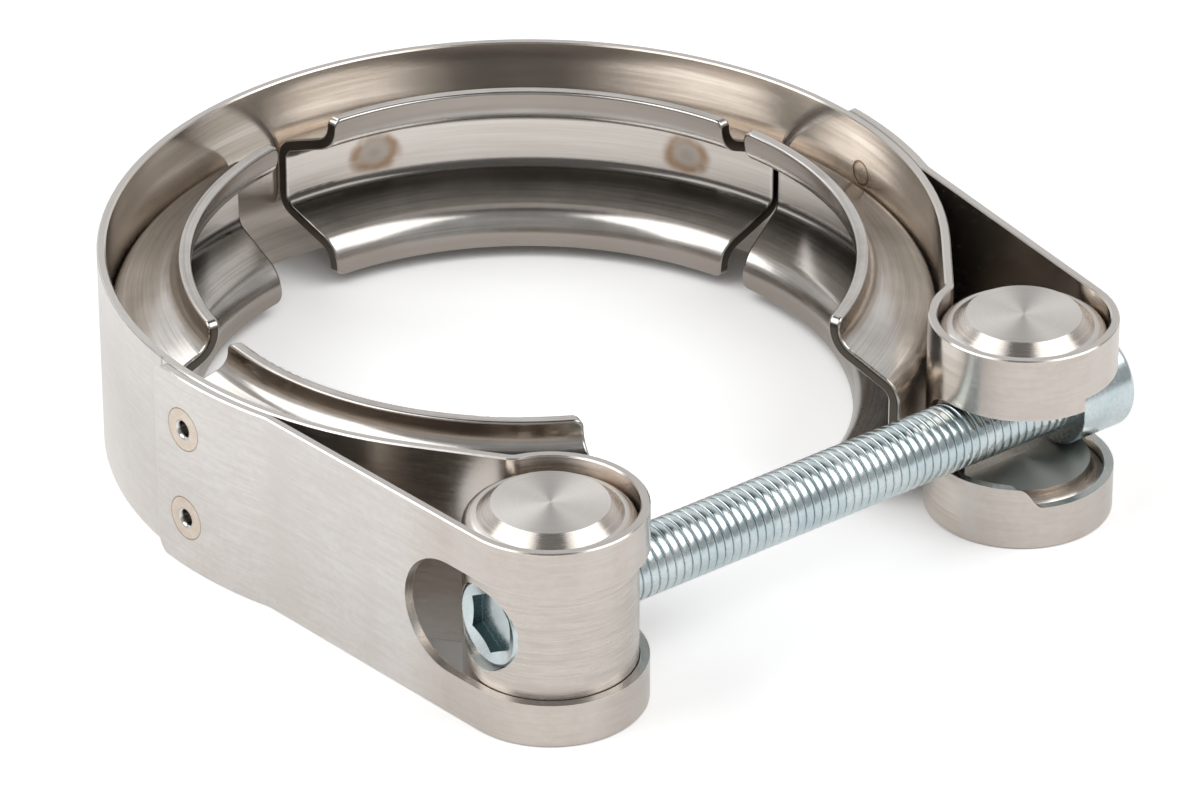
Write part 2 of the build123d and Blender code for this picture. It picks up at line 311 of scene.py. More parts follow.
stripLook = {
    "outside": (0.79, 0.76, 0.73, 1),
    "outsideDark": (0.70, 0.66, 0.625, 1),
    "inside": (0.80, 0.74, 0.675, 1),
    "insideDark": (0.60, 0.53, 0.46, 1),
    "straw": (0.66, 0.58, 0.50, 1),
    "rim": (0.60, 0.575, 0.55, 1),
    "loop": (0.86, 0.82, 0.785, 1),
    "edge": (0.93, 0.91, 0.89, 1),
    # dark joint round the rivet heads, and painted shadow beside the flaps' ends
    "jointAndShadowLine": (0.22, 0.15, 0.10, 1),
    "outsideRoughness": (0.20, 0.29),
    "insideRoughness": (0.13, 0.24),
    "anisotropy": 0.5,
    "lineDepth": 0.012 * mm,
    "edgeWidth": 0.22 * mm,
    "jointWidth": 0.14 * mm,
    "tintRadius": 4.3 * mm,
    "tintSpread": 1.8 * mm,
    # size of the painted shade bands on the bent sheet
    "waveShadeScale": 85.0,
    "loopTint": (17.0 * mm, 26.0 * mm),     # from the trunnion's axis, full and gone
    "rivetToEnd": 8.0 * mm,
    "lapRadius": 75.9 * mm,
    # the painted shadow beside a flap's end
    "endShadowWidth": 0.6 * mm,
    "endShadowFrom": (74.0 * mm, 74.5 * mm),  # the line lies on the ring's own face
    "endShadowTo": (75.2 * mm, 75.5 * mm),
    "rivetHead": 4.0 * mm,
    "rivetFace": 76.7 * mm,                 # distance of the flush heads from the ring's axis
}


def stripSteel():
    look = stripLook
    material, tree, shader, position, normal = startMaterial("brushedStrip")
    fine = place(tree, lines, Position=position, Lengthwise=45.0, Across=2600.0, Detail=4.0)
    streaks = place(tree, lines, Position=position, Lengthwise=11.0, Across=210.0, Detail=3.0)["Lines"]
    short = place(tree, lines, Position=position, Lengthwise=150.0, Across=1100.0, Detail=4.0)["Lines"]
    soft = place(tree, clouds, Position=position, Scale=38.0)["Cloud"]
    speck = noise(tree, position, 900.0, 3.0, 0.6)
    steep = ramp(tree, maths(tree, "ABSOLUTE", split(tree, normal)[2]), 0.75, 0.95)
    grain = maths(tree, "MULTIPLY_ADD", fine["Lines"], 0.25, maths(
        tree, "MULTIPLY_ADD", short, 0.35, maths(
            tree, "MULTIPLY_ADD", speck, 0.2, maths(tree, "MULTIPLY", soft, 0.2))))
    outside = mixColour(tree, ramp(tree, grain, 0.40, 0.60), look["outsideDark"], look["outside"])
    folded = mirroredPlace(tree, position)
    # a shade darker round the trunnions
    fromTrunnion = vectorMaths(tree, "LENGTH", vectorMaths(tree, "MULTIPLY", vectorMaths(
        tree, "SUBTRACT", folded, places["slottedTrunnion"]), (1, 1, 0)))
    looped = mixColour(tree, 1.0, outside, look["loop"], "MULTIPLY")
    outside = mixColour(tree, ramp(tree, fromTrunnion, *look["loopTint"], 1.0, 0.0), outside, looped)
    # painted shade: soft upright darker bands stand in for the changing reflections of the slightly wavy
    # bent sheet
    upright = vectorMaths(tree, "MULTIPLY", position, (1, 1, 0.05))
    waveShade = noise(tree, upright, look["waveShadeScale"], 2.0)
    outside = mixColour(tree, ramp(tree, waveShade, 0.45, 0.7, 0.0, 0.45), outside, look["outsideDark"])
    # painted shadow: a fine dark line on the ring beside a flap's end, fading away from the step
    endLine, endFacing = lapEnd()
    beyond = vectorMaths(tree, "DOT_PRODUCT", folded, endLine)
    outwards = vectorMaths(tree, "DOT_PRODUCT", folded, endFacing)
    atEnd = maths(tree, "MULTIPLY", ramp(tree, beyond, 0.0, look["endShadowWidth"], 0.62, 0.0),
                  ramp(tree, beyond, -0.1 * mm, 0.0))
    onRing = maths(tree, "MULTIPLY", ramp(tree, outwards, *look["endShadowFrom"]),
                   ramp(tree, outwards, *look["endShadowTo"], 1.0, 0.0))
    outside = mixColour(tree, maths(tree, "MULTIPLY", atEnd, onRing), outside, look["jointAndShadowLine"])
    outside = mixColour(tree, maths(tree, "MULTIPLY", steep, 0.8), outside, look["rim"])
    # the faces towards the pipe keep the warmer mill finish, with long streaks
    millGrain = maths(tree, "MULTIPLY_ADD", streaks, 0.75, maths(tree, "MULTIPLY", fine["Lines"], 0.25))
    inside = mixColour(tree, ramp(tree, millGrain, 0.38, 0.62), look["insideDark"], look["inside"])
    facing = vectorMaths(tree, "DOT_PRODUCT", normal, vectorMaths(
        tree, "NORMALIZE", vectorMaths(tree, "MULTIPLY", position, (1, 1, 0))))
    isInside = ramp(tree, facing, -0.35, -0.1, 1.0, 0.0)
    colour = mixColour(tree, isInside, outside, inside)
    rivet = rivetCentre()
    tint = place(tree, stain, Position=folded, Centre=rivet,
                 Radius=look["tintRadius"], Spread=look["tintSpread"])
    colour = mixColour(tree, maths(tree, "MULTIPLY", tint["Halo"], 0.3), colour, look["straw"])
    fromRivet = vectorMaths(tree, "LENGTH", vectorMaths(tree, "SUBTRACT", folded, rivet))
    offJoint = maths(tree, "ABSOLUTE", maths(tree, "SUBTRACT", fromRivet, look["rivetHead"]))
    joint = maths(tree, "MULTIPLY", ramp(tree, offJoint, 0.0, look["jointWidth"], 0.8, 0.0),
                  maths(tree, "SUBTRACT", 1.0, isInside))
    colour = mixColour(tree, joint, colour, look["jointAndShadowLine"])
    # painted highlight, partly worn metal, along the strip's corners
    edge = place(tree, wearAndHighlight, Position=position, Width=look["edgeWidth"])["Edge"]
    colour = mixColour(tree, maths(tree, "MULTIPLY", edge, 0.85), colour, look["edge"])
    feed(tree, colour, shader.inputs["Base Color"])
    outsideRough = ramp(tree, grain, 0.3, 0.7, *look["outsideRoughness"])
    smoothest, roughest = look["insideRoughness"]
    insideRough = ramp(tree, millGrain, 0.3, 0.7, roughest, smoothest)
    rough = mixValue(tree, isInside, outsideRough, insideRough)
    feed(tree, maths(tree, "MULTIPLY_ADD", edge, 0.25, rough), shader.inputs["Roughness"])
    shader.inputs["Anisotropic"].default_value = look["anisotropy"]
    grainTangent(tree, shader, normal, wallDirection(tree, position, normal, steep))
    scratches = place(tree, marks, Position=position, Stretch=(1, 1, 0.35), Scale=48.0,
                      Width=0.004, Share=0.42)
    height = maths(tree, "MULTIPLY_ADD", scratches["Marks"], -1.6, maths(
        tree, "MULTIPLY_ADD", speck, 0.25, fine["Lines"]))
    bump(tree, shader, height, 0.22, look["lineDepth"])
    return material


def lapEnd():
    # along the ring and outwards, where the flap ends beyond its rivets
    x, y, _ = rivetCentre()
    bearing = math.atan2(y, x) + stripLook["rivetToEnd"] / stripLook["lapRadius"]
    return (-math.sin(bearing), math.cos(bearing), 0), (math.cos(bearing), math.sin(bearing), 0)


def rivetCentre():
    low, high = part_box("rivet_right_upper")
    centre = (low + high) / 2
    flat = Vector((centre.x, centre.y, 0)).normalized() * stripLook["rivetFace"]
    return (abs(flat.x), flat.y, abs(centre.z))


retainerLook = {
    "light": (0.66, 0.63, 0.60, 1),
    "dark": (0.48, 0.45, 0.42, 1),
    "web": (0.94, 0.885, 0.83, 1),
    "webDark": (0.81, 0.75, 0.69, 1),
    "lip": (0.40, 0.35, 0.305, 1),
    # painted shade on the flanks next to the web
    "grooveShade": (0.07, 0.063, 0.056, 1),
    # painted shade on the sheared ends
    "cutEndShade": (0.115, 0.10, 0.085, 1),
    "edge": (0.93, 0.92, 0.90, 1),
    "burnt": (0.31, 0.24, 0.18, 1),
    "gold": (0.36, 0.185, 0.065, 1),
    "core": (0.37, 0.35, 0.335, 1),
    "roughness": (0.17, 0.24),
    "webRoughness": 0.30,
    "anisotropy": 0.4,
    "lineDepth": 0.012 * mm,
    "edgeWidth": 0.2 * mm,
    "webFrom": (69.5 * mm, 70.2 * mm),      # distances from the ring's axis
    "lipTo": (60.5 * mm, 63.5 * mm),
    # where the painted shade in the groove starts and is full
    "grooveShadeFrom": (65.0 * mm, 69.0 * mm),
    "stainBearings": (76, 28, 113, 146, -10, -44, 188, 226),  # spot welds, degrees round the ring
    "stainRadius": 71.1 * mm,
}


def retainerSteel():
    look = retainerLook
    material, tree, shader, position, normal = startMaterial("rolledRetainer")
    fine = place(tree, lines, Position=position, Lengthwise=34.0, Across=2200.0,
                 Radial=2200.0, Detail=3.0)
    streaks = place(tree, lines, Position=position, Lengthwise=15.0, Across=330.0,
                    Radial=330.0, Detail=3.0)["Lines"]
    soft = place(tree, clouds, Position=position, Scale=70.0)["Cloud"]
    grain = maths(tree, "MULTIPLY_ADD", fine["Lines"], 0.35, maths(
        tree, "MULTIPLY_ADD", soft, 0.4, maths(tree, "MULTIPLY", streaks, 0.25)))
    colour = mixColour(tree, ramp(tree, grain, 0.38, 0.62), look["dark"], look["light"])
    level = aroundAxis(tree, position)
    rise = split(tree, normal)[2]
    upright = ramp(tree, maths(tree, "ABSOLUTE", rise), 0.2, 0.45, 1.0, 0.0)
    isWeb = maths(tree, "MULTIPLY", upright, ramp(tree, fine["Radius"], *look["webFrom"]))
    webGrain = maths(tree, "MULTIPLY_ADD", streaks, 0.6, maths(tree, "MULTIPLY", fine["Lines"], 0.4))
    lined = mixColour(tree, ramp(tree, webGrain, 0.38, 0.62), look["webDark"], look["web"])
    colour = mixColour(tree, isWeb, colour, lined)
    isLip = maths(tree, "MULTIPLY", upright, ramp(tree, fine["Radius"], *look["lipTo"], 0.8, 0.0))
    colour = mixColour(tree, isLip, colour, look["lip"])
    # painted shade: inside the groove the flanks are coloured darker towards the web, where shade falls
    inGroove = facesMiddle(tree, position, rise)
    deep = maths(tree, "MULTIPLY", inGroove, ramp(tree, fine["Radius"], *look["grooveShadeFrom"], 0.0, 0.75))
    colour = mixColour(tree, deep, colour, look["grooveShade"])
    ring = 0.0
    halo = 0.0
    core = 0.0
    for bearing in look["stainBearings"]:
        angle = math.radians(bearing)
        centre = (look["stainRadius"] * math.cos(angle), look["stainRadius"] * math.sin(angle), 0)
        tint = place(tree, stain, Position=position, Centre=centre)
        ring = maths(tree, "MAXIMUM", ring, tint["Ring"])
        halo = maths(tree, "MAXIMUM", halo, tint["Halo"])
        core = maths(tree, "MAXIMUM", core, tint["Core"])
    colour = mixColour(tree, maths(tree, "MULTIPLY", halo, 0.62), colour, look["burnt"])
    colour = mixColour(tree, maths(tree, "MULTIPLY", ring, 0.68), colour, look["gold"])
    colour = mixColour(tree, maths(tree, "MULTIPLY", core, 0.5), colour, look["core"])
    # painted shade: the sheared ends are coloured dark, standing in for the dark surroundings they
    # reflect
    along = maths(tree, "ABSOLUTE", vectorMaths(tree, "DOT_PRODUCT", normal, level))
    isEnd = ramp(tree, along, 0.86, 0.95)
    colour = mixColour(tree, isEnd, colour, look["cutEndShade"])
    # painted highlight, partly worn metal, along the retainers' corners
    edge = place(tree, wearAndHighlight, Position=position, Width=look["edgeWidth"])["Edge"]
    colour = mixColour(tree, maths(tree, "MULTIPLY", edge, 0.7), colour, look["edge"])
    feed(tree, colour, shader.inputs["Base Color"])
    rough = ramp(tree, grain, 0.3, 0.7, *look["roughness"])
    feed(tree, mixValue(tree, maths(tree, "MAXIMUM", isWeb, isEnd), rough, look["webRoughness"]),
         shader.inputs["Roughness"])
    shader.inputs["Anisotropic"].default_value = look["anisotropy"]
    grainTangent(tree, shader, normal, level)
    scratches = place(tree, marks, Position=position, Stretch=(1, 1, 1.6), Scale=42.0,
                      Width=0.004, Share=0.5)
    relief = maths(tree, "MULTIPLY_ADD", scratches["Marks"], -0.9, fine["Lines"])
    bump(tree, shader, relief, 0.14, look["lineDepth"])
    return material


turnedLook = {
    "light": (0.70, 0.65, 0.60, 1),
    "dark": (0.585, 0.53, 0.48, 1),
    "face": (0.775, 0.75, 0.73, 1),
    "slot": (0.48, 0.485, 0.46, 1),
    "edge": (0.92, 0.91, 0.90, 1),
    "roughness": (0.22, 0.30),
    "faceRoughness": 0.46,
    "anisotropy": 0.75,
    "lineDepth": 0.014 * mm,
    "edgeWidth": 0.12 * mm,
}


def turnedSteel(name, centre):
    look = turnedLook
    material, tree, shader, position, normal = startMaterial(name)
    fine = place(tree, lines, Position=position, Centre=centre, Lengthwise=25.0, Across=3200.0,
                 Radial=3600.0, Detail=3.0)
    short = place(tree, lines, Position=position, Centre=centre, Lengthwise=150.0, Across=1200.0,
                  Radial=3300.0, Detail=4.0)["Lines"]
    soft = place(tree, clouds, Position=position, Scale=60.0)["Cloud"]
    grain = maths(tree, "MULTIPLY_ADD", fine["Lines"], 0.4, maths(
        tree, "MULTIPLY_ADD", short, 0.4, maths(tree, "MULTIPLY", soft, 0.2)))
    colour = mixColour(tree, ramp(tree, grain, 0.40, 0.60), look["dark"], look["light"])
    rise = split(tree, normal)[2]
    isFace = ramp(tree, maths(tree, "ABSOLUTE", rise), 0.9, 0.97)
    colour = mixColour(tree, maths(tree, "MULTIPLY", isFace, 0.65), colour, look["face"])
    # the floor of the screw's slot is milled and darker
    inSlot = facesMiddle(tree, position, rise)
    colour = mixColour(tree, maths(tree, "MULTIPLY", inSlot, isFace), colour, look["slot"])
    # painted highlight, partly worn metal, along the trunnions' corners
    edge = place(tree, wearAndHighlight, Position=position, Width=look["edgeWidth"])["Edge"]
    colour = mixColour(tree, maths(tree, "MULTIPLY", edge, 0.6), colour, look["edge"])
    feed(tree, colour, shader.inputs["Base Color"])
    rough = ramp(tree, grain, 0.3, 0.7, *look["roughness"])
    feed(tree, mixValue(tree, isFace, rough, look["faceRoughness"]), shader.inputs["Roughness"])
    shader.inputs["Anisotropic"].default_value = look["anisotropy"]
    grainTangent(tree, shader, normal, aroundAxis(tree, position, centre))
    bump(tree, shader, fine["Lines"], 0.3, look["lineDepth"])
    return material


rivetLook = {
    "face": (0.79, 0.70, 0.605, 1),
    "faceDark": (0.72, 0.615, 0.51, 1),
    "rim": (0.30, 0.21, 0.14, 1),
    "core": (0.50, 0.48, 0.46, 1),
    "rimFrom": (3.75 * mm, 3.98 * mm),
    "coreTo": (1.7 * mm, 2.1 * mm),
    "roughness": (0.2, 0.32),
    "grainDepth": 0.02 * mm,
}


def rivetSteel():
    look = rivetLook
    material, tree, shader, position, _ = startMaterial("tintedRivet")
    distance = vectorMaths(tree, "LENGTH", vectorMaths(
        tree, "SUBTRACT", mirroredPlace(tree, position), rivetCentre()))
    soft = place(tree, clouds, Position=position, Scale=420.0)["Cloud"]
    colour = mixColour(tree, ramp(tree, soft, 0.35, 0.65), look["faceDark"], look["face"])
    colour = mixColour(tree, ramp(tree, distance, *look["rimFrom"]), colour, look["rim"])
    colour = mixColour(tree, ramp(tree, distance, *look["coreTo"], 1.0, 0.0), colour, look["core"])
    feed(tree, colour, shader.inputs["Base Color"])
    feed(tree, ramp(tree, soft, 0.3, 0.7, *look["roughness"]), shader.inputs["Roughness"])
    bump(tree, shader, soft, 0.2, look["grainDepth"])
    return material


cupLook = {
    "rim": (0.84, 0.82, 0.80, 1),
    "core": (0.16, 0.145, 0.13, 1),
    "radius": 1.78 * mm,
    "depth": 1.9 * mm,
    "around": 40,
    "sleeveShare": 1.05,                    # of the depth, so that it closes below the bottom
    "smoothAngle": 60,
    # painted shade towards the cup's bottom
    "shadeTo": (76.3 * mm, 76.9 * mm),       # distances from the ring's axis
    "roughness": (0.12, 0.25),
    "grainDepth": 0.03 * mm,
    # share of the radius and of the depth, from the mouth to the bottom
    "sections": ((1.0, 0.0), (0.95, 0.02), (0.84, 0.16), (0.72, 0.42), (0.69, 0.80),
                 (0.52, 0.97), (0.0, 1.0)),
}


def cupSteel():
    # painted shade: bright at its flared mouth, coloured dark towards the bottom, where shade falls in
    # the hole
    look = cupLook
    material, tree, shader, position, _ = startMaterial("rivetCup")
    fromAxis = vectorMaths(tree, "LENGTH", vectorMaths(tree, "MULTIPLY", position, (1, 1, 0)))
    patchy = noise(tree, position, 1100.0, 2.0)
    uneven = maths(tree, "MULTIPLY_ADD", patchy, 0.5 * mm, fromAxis)
    colour = mixColour(tree, ramp(tree, uneven, *look["shadeTo"]), look["core"], look["rim"])
    feed(tree, colour, shader.inputs["Base Color"])
    feed(tree, ramp(tree, patchy, 0.3, 0.7, *look["roughness"]), shader.inputs["Roughness"])
    bump(tree, shader, patchy, 0.2, look["grainDepth"])
    return material


zincLook = {
    "light": (0.74, 0.805, 0.82, 1),
    "dark": (0.56, 0.655, 0.685, 1),
    # painted shade on the hexagon's walls
    "keyWallShade": (0.045, 0.075, 0.08, 1),
    "keyReach": (6.0 * mm, 6.3 * mm),       # from the screw's axis
    "roughness": (0.20, 0.30),
    "grainDepth": 0.01 * mm,
}


def zincPlate():
    look = zincLook
    material, tree, shader, position, normal = startMaterial("zincPlate")
    soft = place(tree, clouds, Position=position, Scale=90.0)["Cloud"]
    speck = noise(tree, position, 1400.0, 3.0, 0.6)
    mixed = maths(tree, "MULTIPLY_ADD", soft, 0.6, maths(tree, "MULTIPLY", speck, 0.4))
    colour = mixColour(tree, ramp(tree, mixed, 0.35, 0.65), look["dark"], look["light"])
    # painted shade: the walls of the nut's hexagon lie in the dark and are coloured almost black
    local = vectorMaths(tree, "SUBTRACT", position, (places["keyFloor"], places["screwY"], 0))
    reach = vectorMaths(tree, "LENGTH", vectorMaths(tree, "MULTIPLY", local, (0, 1, 1)))
    facing = maths(tree, "ABSOLUTE", split(tree, normal)[0])
    inKey = maths(tree, "MULTIPLY", ramp(tree, split(tree, local)[0], -0.1 * mm, 0.0, 1.0, 0.0), maths(
        tree, "MULTIPLY", ramp(tree, reach, *look["keyReach"], 1.0, 0.0),
        ramp(tree, facing, 0.2, 0.4, 1.0, 0.0)))
    colour = mixColour(tree, inKey, colour, look["keyWallShade"])
    feed(tree, colour, shader.inputs["Base Color"])
    feed(tree, ramp(tree, mixed, 0.3, 0.7, *look["roughness"]), shader.inputs["Roughness"])
    bump(tree, shader, speck, 0.1, look["grainDepth"])
    return material


def dress(node, material):
    node.data.materials.clear()
    node.data.materials.append(material)


zinc = zincPlate()
retainerFinish = retainerSteel()
rivetFinish = rivetSteel()
dress(nodes["band_strap"], stripSteel())
dress(nodes["socket_nut"], zinc)
dress(nodes["nut_trunnion"], turnedSteel("turnedNutTrunnion", places["nutTrunnion"]))
dress(nodes["slotted_trunnion"], turnedSteel("turnedSlottedTrunnion", places["slottedTrunnion"]))
for nodeName, node in nodes.items():
    if nodeName.startswith("retainer_"):
        dress(node, retainerFinish)
    if nodeName.startswith("rivet_"):
        dress(node, rivetFinish)
print("finishes on the solids")


# the cap screw has a real thread up to its head
screwSizes = {
    "pitch": 1.75 * mm,
    "crestRadius": 6.0 * mm,
    "depth": 0.66 * mm,
    "tipX": -61.7 * mm,
    "length": 121.0 * mm,          # ends inside the head
    "endRadius": 5.5 * mm,
    "plugDepth": 1.0 * mm,
    "plugStart": -0.05 * mm,       # just beyond the tip
    "plugOverlap": 0.3 * mm,
    "stepsPerTurn": 72,
    "weldDistance": 0.002 * mm,
    "smoothAngle": 50,
    # share of the pitch and of the depth: broad rounded bands with a narrow groove between them
    "profile": ((0.0, 0.0), (0.05, 0.60), (0.09, 0.87), (0.17, 0.945), (0.30, 0.985), (0.48, 1.0),
                (0.66, 0.993), (0.80, 0.96), (0.89, 0.89), (0.94, 0.64), (1.0, 0.0)),
}


def startGeometry(name, inputs):
    tree = bpy.data.node_groups.new(name, "GeometryNodeTree")
    for label, kind, default in inputs:
        tree.interface.new_socket(label, in_out="INPUT", socket_type=kind).default_value = default
    tree.interface.new_socket("Finish", in_out="INPUT", socket_type="NodeSocketMaterial")
    tree.interface.new_socket("Geometry", in_out="OUTPUT", socket_type="NodeSocketGeometry")
    return tree, addNode(tree, "NodeGroupInput").outputs, addNode(tree, "NodeGroupOutput").inputs


def endGeometry(tree, geometry, given, out):
    real = addNode(tree, "GeometryNodeRealizeInstances")
    feed(tree, geometry, real.inputs[0])
    finish = addNode(tree, "GeometryNodeSetMaterial")
    feed(tree, real.outputs[0], finish.inputs["Geometry"])
    feed(tree, given["Finish"], finish.inputs["Material"])
    feed(tree, finish.outputs[0], out["Geometry"])


def onCircle(tree, radius, angle):
    return [maths(tree, "MULTIPLY", radius, maths(tree, side, angle)) for side in ("COSINE", "SINE")]


def shifted(tree, geometry, translation, rotation=None):
    node = addNode(tree, "GeometryNodeTransform")
    feed(tree, geometry, node.inputs["Geometry"])
    feed(tree, translation, node.inputs["Translation"])
    feed(tree, rotation, node.inputs["Rotation"])
    return node.outputs[0]


def steppedCurve(tree, share, values):
    # straight runs between evenly spaced values
    node = addNode(tree, "ShaderNodeFloatCurve")
    curve = node.mapping.curves[0]
    last = len(values) - 1
    while len(curve.points) < len(values):
        curve.points.new(0.5, 0.5)
    for index, value in enumerate(values):
        curve.points[index].location = (index / last, value)
        curve.points[index].handle_type = "VECTOR"
    node.mapping.update()
    feed(tree, share, node.inputs["Value"])
    return node.outputs[0]


def threadTree():
    tree, given, out = startGeometry("helicalThread", (
        ("Pitch", floatIn, 0.00175), ("Crest Radius", floatIn, 0.006), ("Depth", floatIn, 0.00066),
        ("Length", floatIn, 0.12), ("End Radius", floatIn, 0.0055), ("Tip", vectorIn, (0, 0, 0)),
        ("Turns", floatIn, 70.0), ("Steps Per Turn", "NodeSocketInt", 72)))
    profile = screwSizes["profile"]
    rows = len(profile)
    # a flat grid, one row for each point of the profile, is wound up
    grid = addNode(tree, "GeometryNodeMeshGrid")
    feed(tree, given["Turns"], grid.inputs["Size X"])
    feed(tree, float(rows - 1), grid.inputs["Size Y"])
    steps = maths(tree, "MULTIPLY_ADD", given["Turns"], given["Steps Per Turn"], 1.0)
    feed(tree, steps, grid.inputs["Vertices X"])
    feed(tree, rows, grid.inputs["Vertices Y"])
    gridX, gridY, _ = split(tree, addNode(tree, "GeometryNodeInputPosition").outputs[0])
    turn = maths(tree, "MULTIPLY_ADD", given["Turns"], 0.5, gridX)
    share = maths(tree, "ADD", maths(tree, "DIVIDE", gridY, float(rows - 1)), 0.5)
    along = steppedCurve(tree, share, [point[0] for point in profile])
    height = steppedCurve(tree, share, [point[1] for point in profile])
    pitches = maths(tree, "SUBTRACT", maths(tree, "ADD", turn, along), 1.0)
    run = maths(tree, "MULTIPLY", pitches, given["Pitch"])
    run = maths(tree, "MINIMUM", maths(tree, "MAXIMUM", run, 0.0), given["Length"])
    root = maths(tree, "SUBTRACT", given["Crest Radius"], given["Depth"])
    radius = maths(tree, "MULTIPLY_ADD", height, given["Depth"], root)
    fromEnd = maths(tree, "MINIMUM", run, maths(tree, "SUBTRACT", given["Length"], run))
    radius = maths(tree, "MINIMUM", radius, maths(tree, "ADD", given["End Radius"], fromEnd))
    angle = maths(tree, "MULTIPLY", turn, 2 * math.pi)
    wound = addNode(tree, "GeometryNodeSetPosition")
    feed(tree, grid.outputs["Mesh"], wound.inputs["Geometry"])
    feed(tree, join(tree, run, *onCircle(tree, radius, angle)), wound.inputs["Position"])
    joined = addNode(tree, "GeometryNodeJoinGeometry")
    # flat ends
    for atEnd in (0.0, 1.0):
        disc = addNode(tree, "GeometryNodeMeshCircle", fill_type="NGON")
        feed(tree, given["Steps Per Turn"], disc.inputs["Vertices"])
        feed(tree, given["End Radius"], disc.inputs["Radius"])
        end = join(tree, maths(tree, "MULTIPLY", given["Length"], atEnd))
        outwards = (0, math.radians(90 if atEnd else -90), 0)
        feed(tree, shifted(tree, disc.outputs[0], end, outwards), joined.inputs[0])
    feed(tree, wound.outputs[0], joined.inputs[0])
    # a plain plug closes the tip, it is the floor of the nut's socket
    plug = addNode(tree, "GeometryNodeMeshCylinder", fill_type="NGON")
    depth = screwSizes["plugDepth"]
    middle = screwSizes["plugStart"] + depth / 2
    feed(tree, given["Steps Per Turn"], plug.inputs["Vertices"])
    feed(tree, maths(tree, "ADD", given["End Radius"], screwSizes["plugOverlap"]), plug.inputs["Radius"])
    feed(tree, depth, plug.inputs["Depth"])
    lyingPlug = shifted(tree, plug.outputs[0], (middle, 0, 0), (0, math.radians(90), 0))
    feed(tree, lyingPlug, joined.inputs[0])
    merged = addNode(tree, "GeometryNodeMergeByDistance")
    feed(tree, shifted(tree, joined.outputs[0], given["Tip"]), merged.inputs["Geometry"])
    feed(tree, screwSizes["weldDistance"], merged.inputs["Distance"])
    endGeometry(tree, merged.outputs[0], given, out)
    return tree


def grow(name, tree, values):
    # runs a geometry tree and keeps its result as a plain mesh
    carrier = bpy.data.objects.new(name, bpy.data.meshes.new(name))
    bpy.context.scene.collection.objects.link(carrier)
    modifier = carrier.modifiers.new(name, "NODES")
    modifier.node_group = tree
    for item in tree.interface.items_tree:
        if item.item_type == "SOCKET" and item.in_out == "INPUT" and item.name in values:
            modifier[item.identifier] = values[item.name]
    carrier.update_tag()
    bpy.context.view_layer.update()
    view = bpy.context.evaluated_depsgraph_get()
    mesh = bpy.data.meshes.new_from_object(carrier.evaluated_get(view), depsgraph=view)
    carrier.modifiers.remove(modifier)
    carrier.data = mesh
    return carrier


def tidyShell(mesh, smoothAngle):
    shell = bmesh.new()
    shell.from_mesh(mesh)
    bmesh.ops.remove_doubles(shell, verts=shell.verts, dist=1e-6)
    bmesh.ops.dissolve_degenerate(shell, edges=shell.edges, dist=1e-7)
    bmesh.ops.recalc_face_normals(shell, faces=shell.faces)
    for face in shell.faces:
        face.smooth = True
    limit = math.radians(smoothAngle)
    for edge in shell.edges:
        edge.smooth = len(edge.link_faces) == 2 and edge.calc_face_angle(0) < limit
    shell.to_mesh(mesh)
    shell.free()


sizes = screwSizes
thread = grow("screwThread", threadTree(), {
    "Pitch": sizes["pitch"], "Crest Radius": sizes["crestRadius"], "Depth": sizes["depth"],
    "Length": sizes["length"], "End Radius": sizes["endRadius"],
    "Tip": (sizes["tipX"], places["screwY"], 0.0),
    "Turns": float(math.ceil(sizes["length"] / sizes["pitch"]) + 1),
    "Steps Per Turn": sizes["stepsPerTurn"], "Finish": zinc})
tidyShell(thread.data, sizes["smoothAngle"])
print("thread", len(thread.data.polygons), "faces")

headSizes = {
    "seatX": 58.3 * mm,
    "height": 12.0 * mm,
    "radius": 9.0 * mm,
    "edge": 1.2 * mm,
    "underEdge": 0.35 * mm,
    "boreRadius": 4.6 * mm,
    "keyFlats": 10.0 * mm,
    "keyCorner": 0.5713,           # the worn corners and the mouth, as shares of the flats
    "keyMouth": 0.59,
    "keyDepth": 6.0 * mm,
    "keyFlare": 0.8 * mm,
    "mouthEdge": 0.15 * mm,
    "floorEdge": 0.1 * mm,
    "floorInset": 0.15 * mm,
    "drillRadius": 1.2 * mm,
    "drillDepth": 1.1 * mm,        # the drill's cone below the socket's floor
    "sides": 96,
    "smoothAngle": 28,
}


